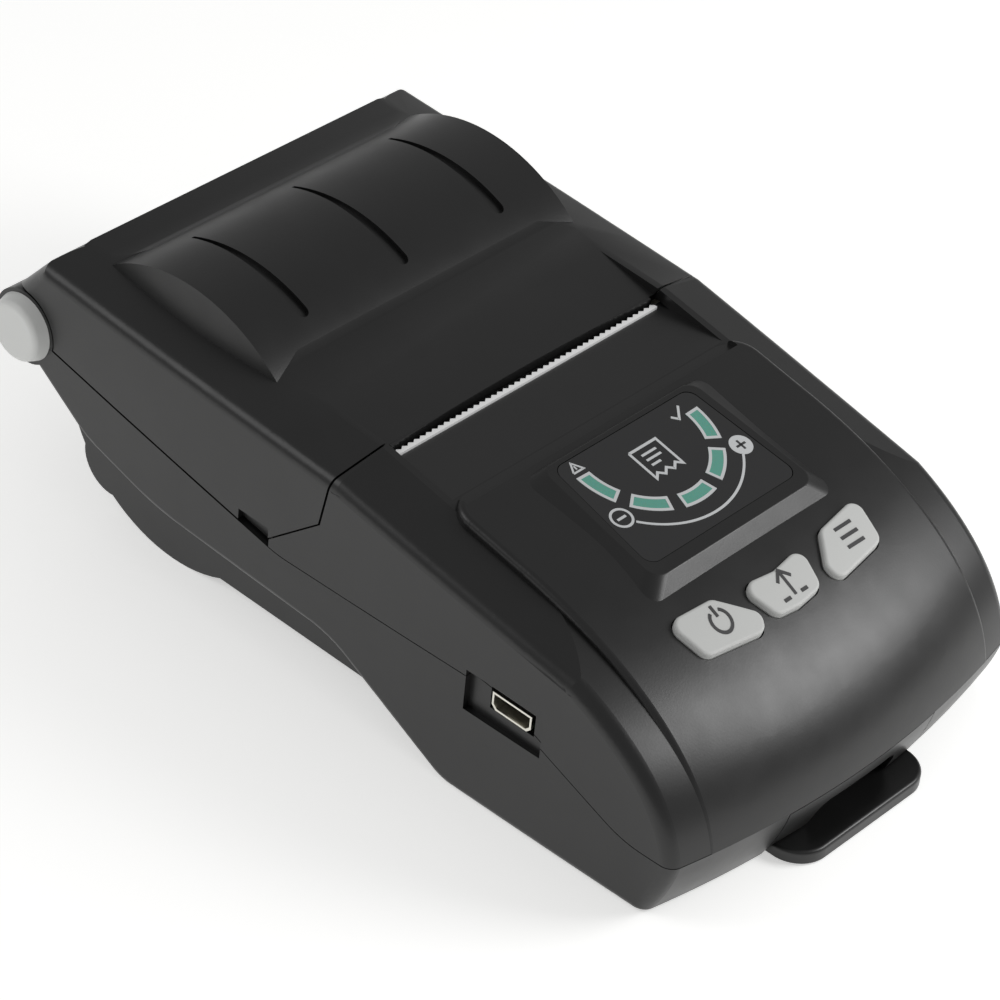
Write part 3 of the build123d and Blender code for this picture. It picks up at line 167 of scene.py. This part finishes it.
# The other finishes: real name, shader values, size and depth of the surface's grain, and above
# them what each gives the eye
finishes = {
    # soft, slightly waxy grey keys
    "key_grey": ("grey silicone rubber, moulded",
                 {"Base Color": "#cbccca", "Roughness": 0.55, "IOR": 1.41}, (0.25, 0.004)),
    # smooth light grey with one small highlight
    "cap_grey": ("grey ABS, moulded",
                 {"Base Color": "#d2d3d1", "Roughness": 0.4, "IOR": 1.53}, (0.5, 0.003)),
    # flatter than the case, with hardly any grain
    "label_film": ("black polyester film, printed",
                   {"Base Color": "#1b1b1c", "Roughness": 0.34, "IOR": 1.6}, (0.8, 0.001)),
    # milky teal that lets a little light in
    "lamp_lens": ("teal polycarbonate, moulded",
                  {"Base Color": "#5fa392", "Roughness": 0.35, "IOR": 1.58,
                   "Subsurface Weight": 0.15, "Subsurface Scale": 0.001}, (1.0, 0.001)),
    # small cream blocks on the key board
    "led_white": ("lamp resin, moulded",
                  {"Base Color": "#e6e6d8", "Roughness": 0.3, "IOR": 1.5}, (1.0, 0.001)),
    # glossy dark green with the weave just showing
    "circuit_board": ("glass epoxy board, green resist",
                      {"Base Color": "#114a26", "Roughness": 0.35, "IOR": 1.55}, (0.7, 0.004)),
    # dull near-black packages
    "chip_black": ("black epoxy, moulded",
                   {"Base Color": "#17171a", "Roughness": 0.6, "IOR": 1.55}, (0.3, 0.004)),
    # dull silvery sheet, a little warm
    "shield_tin": ("tinned steel, pressed",
                   {"Base Color": "#b9b9b4", "Roughness": 0.35, "Metallic": 1.0}, (2.0, 0.002)),
    # dull silvery sheet, a little blue
    "steel_sheet": ("zinc plated steel, pressed",
                    {"Base Color": "#a9abad", "Roughness": 0.38, "Metallic": 1.0}, (1.5, 0.002)),
    # bright shafts and the socket's shell
    "steel_bright": ("stainless steel, ground",
                     {"Base Color": "#e9e6dc", "Roughness": 0.28, "Metallic": 1.0}, (0.6, 0.001)),
    # darker wire with sharp highlights
    "spring_steel": ("spring steel wire, drawn",
                     {"Base Color": "#9a9a9c", "Roughness": 0.3, "Metallic": 1.0}, (0.3, 0.001)),
    # pale satin bar behind the print head
    "heatsink_aluminium": ("aluminium, extruded",
                           {"Base Color": "#c4c6c9", "Roughness": 0.4, "Metallic": 1.0}, (0.8, 0.003)),
    # a dark mirror of glass
    "head_ceramic": ("alumina, glazed",
                     {"Base Color": "#2a1b12", "Roughness": 0.15, "IOR": 1.55}, (1.0, 0.001)),
    # shiny orange brown
    "flex_amber": ("polyimide ribbon, etched",
                   {"Base Color": "#a6691c", "Roughness": 0.35, "IOR": 1.7}, (0.8, 0.002)),
    # dull black, no highlight
    "platen_rubber": ("nitrile rubber, ground",
                      {"Base Color": "#141415", "Roughness": 0.75, "IOR": 1.52}, (0.15, 0.010)),
    # ivory gears with a soft shine
    "gear_white": ("natural acetal, moulded",
                   {"Base Color": "#dedacd", "Roughness": 0.4, "IOR": 1.48}, (0.5, 0.002)),
    # grainy yellow brown metal
    "bronze_bush": ("bronze, sintered",
                    {"Base Color": "#b08a52", "Roughness": 0.45, "Metallic": 1.0}, (0.2, 0.006)),
    # bright yellow contacts
    "contact_brass": ("brass, gold plated",
                      {"Base Color": "#d7b35c", "Roughness": 0.25, "Metallic": 1.0}, (0.8, 0.001)),
    # plain white with hardly any sheen
    "paper_white": ("thermal paper, coated",
                    {"Base Color": "#efefea", "Roughness": 0.5, "IOR": 1.5}, (0.1, 0.004)),
    # matt brown grey
    "card_core": ("grey card, wound",
                  {"Base Color": "#9c8a6c", "Roughness": 0.8, "IOR": 1.5}, (0.2, 0.01)),
    # tight glossy blue sleeve
    "battery_wrap": ("PVC sleeve, shrunk",
                     {"Base Color": "#20355f", "Roughness": 0.3, "IOR": 1.54}, (1.5, 0.01)),
    # dark metal heads
    "screw_black": ("steel, black zinc plated",
                    {"Base Color": "#2b2b2d", "Roughness": 0.35, "Metallic": 1.0}, (0.5, 0.003)),
    # printed marks: matt ink
    "ink_light": ("pale grey ink, screen printed",
                  {"Base Color": "#cfd1d2", "Roughness": 0.6, "IOR": 1.5}, (0.3, 0.001)),
    "ink_dark": ("dark grey ink, screen printed",
                 {"Base Color": "#3a3a3b", "Roughness": 0.6, "IOR": 1.5}, (0.3, 0.001)),
    # the tear strip is painted a plain matt white that stands in for the bright reflection of the
    # lamps on its plated steel, so it stays pale from every side as a painted highlight
    "tear_strip_painted_highlight": ("nickel plated steel, painted white highlight",
                   {"Base Color": "#ffffff", "Roughness": 0.5, "Metallic": 0.15}, (0.3, 0.004)),
}
for slotName, (realName, shader, (size, depth)) in finishes.items():
    made, tree, surface = newMaterial(realName, shader)
    grain(tree, surface, size, depth)
    materials[slotName] = made

slotOf = {row["node"]: row["material_slot"] for row in frame["record"]["subparts"]}
for name, node in nodes.items():
    node.data.materials.clear()
    # the tear bar gets the plain white of the painted highlight instead of its slot's finish
    node.data.materials.append(materials["tear_strip_painted_highlight" if name == "tear_bar" else slotOf[name]])
print("materials on", len(nodes), "solids")


def meshArray(collection, field, width):
    # a field of a mesh's points or corners as an array with one row for each
    values = np.empty(len(collection) * width, int if field == "vertex_index" else float)
    collection.foreach_get(field, values)
    return values.reshape(-1, width)


def unit(rows):
    return rows / np.maximum(np.linalg.norm(rows, axis=1, keepdims=True), 1e-12)


bulge = {
    "axis": (40.25, 22.6),    # y and z of the roll bulge's cylinder
    "radius": 29.5,
    "merge": 0.002,           # points nearer to each other than this are one
    "onIt": 0.03,             # a point this near to the cylinder is on it
    "sag": 0.02,              # longest way that an edge may cut under it
    "lift": 3.0,              # longest way that a new point is lifted
    "rounds": 6,              # how often edges are split at most
    "sharp": 24.0,            # degrees; edges over this stay sharp
    "facing": 20.0,           # degrees; triangles within this of the cylinder's normal are on it
}


def roundBulge(node, body, cfg):
    # The solid's triangles on the bulge are long and cut under the cylinder between the grooves,
    # which shows as a false crease. This copy splits their edges and lifts the new points to the
    # cylinder. Its normals there are (0, y - axis y, z - axis z) / radius.
    axisY, axisZ = cfg["axis"]

    def fromAxis(point):
        return math.hypot(point.y / mm - axisY, point.z / mm - axisZ)

    def offBy(point):
        return abs(fromAxis(point) - cfg["radius"])

    form = bmesh.new()
    form.from_mesh(nodes[node].data)
    bmesh.ops.remove_doubles(form, verts=form.verts, dist=cfg["merge"] * mm)
    for turn in range(cfg["rounds"]):
        sagging = [e for e in form.edges if max(offBy(v.co) for v in e.verts) < cfg["onIt"]
                   and offBy((e.verts[0].co + e.verts[1].co) / 2) > cfg["sag"]
                   and min(v.co.z for v in e.verts) > axisZ * mm]
        if not sagging:
            break
        made = bmesh.ops.subdivide_edges(form, edges=sagging, cuts=1)["geom_inner"]
        for vert in (g for g in made if isinstance(g, bmesh.types.BMVert)):
            if offBy(vert.co) < cfg["lift"]:
                spread = cfg["radius"] / fromAxis(vert.co)
                vert.co.y = (axisY + (vert.co.y / mm - axisY) * spread) * mm
                vert.co.z = (axisZ + (vert.co.z / mm - axisZ) * spread) * mm
        bmesh.ops.triangulate(form, faces=[f for f in form.faces if len(f.verts) > 3])
    sharp = math.radians(cfg["sharp"])
    for edge in form.edges:
        edge.smooth = len(edge.link_faces) == 2 and edge.calc_face_angle(0.0) < sharp
    for face in form.faces:
        face.smooth = True
    mesh = bpy.data.meshes.new(node + "_round")
    form.to_mesh(mesh)
    form.free()
    if "custom_normal" in mesh.attributes:
        mesh.attributes.remove(mesh.attributes["custom_normal"])
    mesh.materials.append(nodes[node].data.materials[0])

    normals = meshArray(mesh.corner_normals, "vector", 3)
    corner = meshArray(mesh.loops, "vertex_index", 1)[:, 0]
    points = meshArray(mesh.vertices, "co", 3)[corner] / mm
    outward = points - np.array([0.0, axisY, axisZ])
    outward[:, 0] = 0.0
    distance = np.linalg.norm(outward, axis=1)
    outward /= distance[:, None]
    a, b, c = points.reshape(-1, 3, 3).transpose(1, 0, 2)
    facing = unit(np.cross(b - a, c - a))
    near = (np.abs(distance - cfg["radius"]) < cfg["onIt"]).reshape(-1, 3).all(axis=1)
    along = (facing * outward.reshape(-1, 3, 3).mean(axis=1)).sum(axis=1)
    near &= along > math.cos(math.radians(cfg["facing"]))
    near = np.repeat(near, 3)
    normals[near] = outward[near]
    mesh.normals_split_custom_set(normals.tolist())
    piece = bpy.data.objects.new(node + "_round", mesh)
    bpy.context.scene.collection.objects.link(piece)
    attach(piece, body)
    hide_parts(node)
    print(near.sum() // 3, "triangles on the bulge,", len(mesh.polygons), "in all, rounds", turn)


roundBulge("paper_cover", "cover", bulge)


# Printed marks. A mark is a stroke: a path on the printed face, with a width. Across the path it
# has a flat top and two sides that go down to the face, so it is a thin film of ink.

ink = {
    "onLabel": (-0.02, 0.06),     # foot and top of each film, from the face
    "onDot": (0.05, 0.075),       # over the filled dot
    "onKeys": (-0.06, 0.09),
    "circlePoints": 48,
    "lampPoints": 14,             # along each long side of a lamp
    "lineSteps": 16,
    "mitre": 2.0,                 # a sharp corner reaches out to this many half widths at most
    "hole": 0.02,                 # in a filled dot, too small to see
    "slots": {"ink_light": "key_grey", "ink_dark": "chip_black"},
}
probe = {
    "rays": 7,                    # each way
    "from": 100.0,
    "spread": 0.3,                # a hit further from the tangent plane isn't on the top
}


def squares(x, y):
    return np.stack([np.ones_like(x), x, y, x * x, x * y, y * y], axis=1)


def dropTo(node, around, reach):
    # height of a node's top near a place, as a second degree surface through a grid of rays:
    # z = c0 + c1 x + c2 y + c3 x x + c4 x y + c5 y y, with x and y counted from the place. Rays
    # that end far from the middle's tangent plane met an edge or a flange and don't count.
    mesh = nodes[node].data
    corners = meshArray(mesh.vertices, "co", 3)
    tree = BVHTree.FromPolygons(corners.tolist(), [tuple(p.vertices) for p in mesh.polygons])
    down = Vector((0, 0, -1))
    middle, facing = tree.ray_cast(Vector((*around, probe["from"])) * mm, down)[:2]
    found = []
    for x in np.linspace(-reach[0], reach[0], probe["rays"]):
        for y in np.linspace(-reach[1], reach[1], probe["rays"]):
            start = Vector((around[0] + x, around[1] + y, probe["from"])) * mm
            hit = tree.ray_cast(start, down)[0]
            if hit and abs((hit - middle).dot(facing)) < probe["spread"] * mm:
                found.append((x, y, hit.z / mm))
    print(node, len(found), "rays met the top")
    x, y, z = np.array(found).T
    factors = np.linalg.lstsq(squares(x, y), z, rcond=None)[0]

    def height(points):
        x, y = (points - np.array(around)).T
        return squares(x, y) @ factors
    return height


def arc(centre, radius, start, stop, count=ink["circlePoints"]):
    # points on a circle from one angle to another, in degrees from +x
    turn = np.radians(np.linspace(start, stop, count))
    return np.stack([centre[0] + radius * np.cos(turn), centre[1] + radius * np.sin(turn)], axis=1)


def circle(centre, radius):
    # a whole circle, whose last point is one step before the first
    count = ink["circlePoints"]
    return arc(centre, radius, 0, 360 * (count - 1) / count)


def line(*corners):
    # straight runs through the corners, with points at equal steps of their length
    corners = np.array(corners, float)
    runs = np.linalg.norm(np.diff(corners, axis=0), axis=1)
    along = np.concatenate([[0.0], np.cumsum(runs)])
    steps = np.unique(np.concatenate([np.linspace(0.0, along[-1], ink["lineSteps"] + 1), along]))
    return np.stack([np.interp(steps, along, corners[:, i]) for i in (0, 1)], axis=1)


def stroke(path, width, closed=False):
    # the path offset to both sides along its normal, with mitred corners: rows of four points,
    # left foot, left top, right top, right foot. Returns flat points, which are tops, and faces.
    if closed:
        before = path - np.roll(path, 1, axis=0)
        after = np.roll(path, -1, axis=0) - path
    else:
        step = np.diff(path, axis=0)
        before = np.concatenate([step[:1], step])
        after = np.concatenate([step, step[-1:]])
    after = unit(after)
    middle = unit(unit(before) + after)
    normal = np.stack([-middle[:, 1], middle[:, 0]], axis=1)
    lean = np.maximum((middle * after).sum(axis=1, keepdims=True), 1 / ink["mitre"])
    side = normal * (width / 2) / lean
    grid = np.stack([path + side, path + side, path - side, path - side], axis=1)
    count = len(path)
    top = np.tile([False, True, True, False], (count, 1))
    start = 4 * np.arange(count if closed else count - 1)[:, None]
    row = start + np.arange(3)
    following = (start + 4) % (4 * count) + np.arange(3)
    faces = np.stack([row, row + 1, following + 1, following], axis=2).reshape(-1, 4)
    if not closed:
        faces = np.concatenate([faces, [[3, 2, 1, 0]], np.arange(4)[None, :] + 4 * (count - 1)])
    return grid.reshape(-1, 2), top.reshape(-1), faces


def drawn(width, *corners):
    # an open stroke of straight runs
    return line(*corners), width, False


def dot(centre, radius):
    # a filled disc: a ring whose hole is too small to see
    return circle(centre, (radius + ink["hole"]) / 2), radius - ink["hole"], True


def printMarks(name, strokes, place, film, slotName, body):
    # puts the strokes on a printed face: place gives the face's point for a path's point
    points, tops, faces = [], [], []
    for path, width, closed in strokes:
        at, top, some = stroke(path, width, closed)
        faces.append(some + sum(len(p) for p in points))
        points.append(at)
        tops.append(top)
    solid = place(np.concatenate(points))
    solid[:, 2] += np.where(np.concatenate(tops), film[1], film[0])
    mesh = bpy.data.meshes.new(name)
    mesh.from_pydata((solid * mm).tolist(), [], np.concatenate(faces).tolist())
    mesh.materials.append(materials[slotName])
    mesh.update()
    mark = bpy.data.objects.new(name, mesh)
    bpy.context.scene.collection.objects.link(mark)
    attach(mark, body)


# On the label u runs to the right and v up the slope, both from its centre
label = {
    "centre": (0.0, -30.45),
    "pitch": 11.5,                # degrees that it falls towards the keys
    "probe": (6.0, 3.0),          # half the field of rays that finds its height
    "arcCentre": 7.3,             # v of the arcs' centre
    "lampCount": 5,
    "lamps": (10.9, 13.7),        # inner and outer radius of the lamps
    "lampPitch": 38.3,
    "lampSpan": 29.4,
    "border": 0.5,                # printed border on each lamp
    "gauge": 16.4,                # radius of the thin arc outside the lamps
    "gaugeFrom": -48.3,
    "gaugeTo": 49.4,
    "gaugeEnds": 56.1,
    "endRadius": 1.95,
    "minus": 0.9,                 # half the length of the signs in the ends
    "plus": 1.0,
    "line": 0.42,
    # a strip of paper with a torn edge and three printed lines
    "strip": [(-3.0, 6.6), (-3.0, 0.6), (-2.0, 1.5), (-1.0, 0.6), (0.0, 1.5), (1.0, 0.6), (2.0, 1.5),
              (3.0, 0.6), (3.0, 6.6), (-2.95, 6.6)],
    "stripLine": 0.45,
    "printed": [(5.2, 1.6), (4.1, 1.6), (3.0, 0.4)],    # v of each line and u of its right end
    "printedLeft": -1.6,
    "printedLine": 0.4,
    # a warning triangle with its bar, and a tick
    "warning": [(-13.3, 8.5), (-11.1, 8.5), (-12.2, 10.3), (-13.25, 8.57)],
    "warningLine": 0.32,
    "bar": [(-12.2, 8.9), (-12.2, 9.6)],
    "barLine": 0.28,
    "tick": [(8.4, 8.3), (9.3, 7.3), (11.2, 9.4)],
}
labelHeight = dropTo("display_label", label["centre"], label["probe"])
arcsAt = (0.0, label["arcCentre"])


def onLabel(points):
    # the label's plane: x is u, and y follows the slope
    slope = math.radians(label["pitch"])
    flat = points * np.array([1.0, math.cos(slope)]) + np.array(label["centre"])
    return np.column_stack([flat, labelHeight(flat)])


def lampBorder(index):
    # outline of one lamp, half a border in from its edge
    low, high = label["lamps"]
    half = label["border"] / 2
    turn = -90.0 + (index - (label["lampCount"] - 1) / 2) * label["lampPitch"]
    reachOut = label["lampSpan"] / 2 - math.degrees(half / high)
    reachIn = label["lampSpan"] / 2 - math.degrees(half / low)
    outer = arc(arcsAt, high - half, turn - reachOut, turn + reachOut, ink["lampPoints"])
    inner = arc(arcsAt, low + half, turn + reachIn, turn - reachIn, ink["lampPoints"])
    return np.concatenate([outer, inner]), label["border"], True


def onGauge(angle):
    # the place on the thin arc at an angle, in degrees from its middle
    turn = math.radians(angle - 90.0)
    radius = label["gauge"]
    return radius * math.cos(turn), arcsAt[1] + radius * math.sin(turn)


thin = label["line"]
lowU, lowV = onGauge(-label["gaugeEnds"])
highU, highV = onGauge(label["gaugeEnds"])
minus, plus = label["minus"], label["plus"]
lightMarks = [lampBorder(i) for i in range(label["lampCount"])]
lightMarks += [
    (arc(arcsAt, label["gauge"], label["gaugeFrom"] - 90, label["gaugeTo"] - 90), thin, False),
    (circle((lowU, lowV), label["endRadius"] - thin / 2), thin, True),
    drawn(thin, (lowU - minus, lowV), (lowU + minus, lowV)),
    dot((highU, highV), label["endRadius"]),
    drawn(label["stripLine"], *label["strip"]),
]
for v, u in label["printed"]:
    lightMarks.append(drawn(label["printedLine"], (label["printedLeft"], v), (u, v)))
lightMarks += [
    drawn(label["warningLine"], *label["warning"]),
    drawn(label["barLine"], *label["bar"]),
    drawn(thin, *label["tick"]),
]
printMarks("label_marks", lightMarks, onLabel, ink["onLabel"], "ink_light", "base")
darkMarks = [
    drawn(thin, (highU - plus, highV), (highU + plus, highV)),
    drawn(thin, (highU, highV - plus), (highU, highV + plus)),
]
printMarks("label_plus", darkMarks, onLabel, ink["onDot"], "ink_dark", "base")

# Key symbols: a power sign, an arrow that leaves a slot, and three bars
pen = 0.5
keys = {
    "power": {
        "node": "power_button", "body": "power_key", "at": (-13.9, -53.0),
        "strokes": [(arc((0, 0), 1.75, 120, 420), pen, False), drawn(pen, (0, 0.7), (0, 2.5))],
    },
    "feed": {
        "node": "feed_button", "body": "feed_key", "at": (0.5, -53.5),
        "strokes": [drawn(pen, (0, -2.0), (0, 1.9)), drawn(pen, (-1.5, 0.5), (0, 2.0), (1.5, 0.5)),
                    drawn(pen, (-2.6, -2.0), (-1.2, -2.0)), drawn(pen, (1.2, -2.0), (2.6, -2.0))],
    },
    "menu": {
        "node": "menu_button", "body": "menu_key", "at": (16.2, -52.6),
        "strokes": [drawn(pen, (-1.9, v), (1.9, v)) for v in (-1.5, 0.0, 1.5)],
    },
}
keyProbe = (3.2, 2.9)    # half the field of rays that finds a key's top
for name, key in keys.items():
    keyHeight = dropTo(key["node"], key["at"], keyProbe)

    def onKey(points):
        flat = points + np.array(key["at"])
        return np.column_stack([flat, keyHeight(flat)])

    printMarks(name + "_symbol", key["strokes"], onKey, ink["onKeys"], "ink_dark", key["body"])
print("marks printed")


# Studio: a pale floor, a dim surround and two soft boxes. The near one gives the nose its broad
# highlight, the far one the thin bright lines along the left edge.

studio = {
    "floor": "#f6f6f5",
    "floorHalf": 6000.0,
    "floorRoughness": 0.8,
    "floorGlow": 0.52,    # keeps the floor white under the object's soft shadow
    "world": 0.38,
    "key": ((186, -232, 203), 150, 0.5),      # place, size and power (W)
    "rim": ((-330, 280, 360), 260, 0.4),
}


def areaLight(name, place, size, power):
    data = bpy.data.lights.new(name, "AREA")
    data.size = size * mm
    data.energy = power
    lamp = bpy.data.objects.new(name, data)
    bpy.context.scene.collection.objects.link(lamp)
    lamp.location = Vector(place) * mm
    lamp.rotation_euler = (-Vector(place)).to_track_quat("-Z", "Y").to_euler()


for name in ("key", "rim"):
    areaLight(name, *studio[name])
floorMesh = bpy.data.meshes.new("floor")
reach = studio["floorHalf"] * mm
floorCorners = [(-reach, -reach, 0), (reach, -reach, 0), (reach, reach, 0), (-reach, reach, 0)]
floorMesh.from_pydata(floorCorners, [], [(0, 1, 2, 3)])
floor = bpy.data.objects.new("floor", floorMesh)
bpy.context.scene.collection.objects.link(floor)
floorMaterial = newMaterial("painted studio floor", {
    "Base Color": studio["floor"], "Roughness": studio["floorRoughness"],
    "Emission Color": studio["floor"], "Emission Strength": studio["floorGlow"]})[0]
floorMesh.materials.append(floorMaterial)
world = bpy.data.worlds.new("studio")
world.use_nodes = True
sky = world.node_tree.nodes["Background"]
sky.inputs["Color"].default_value = (1, 1, 1, 1)
sky.inputs["Strength"].default_value = studio["world"]
bpy.context.scene.world = world
print("studio lit")
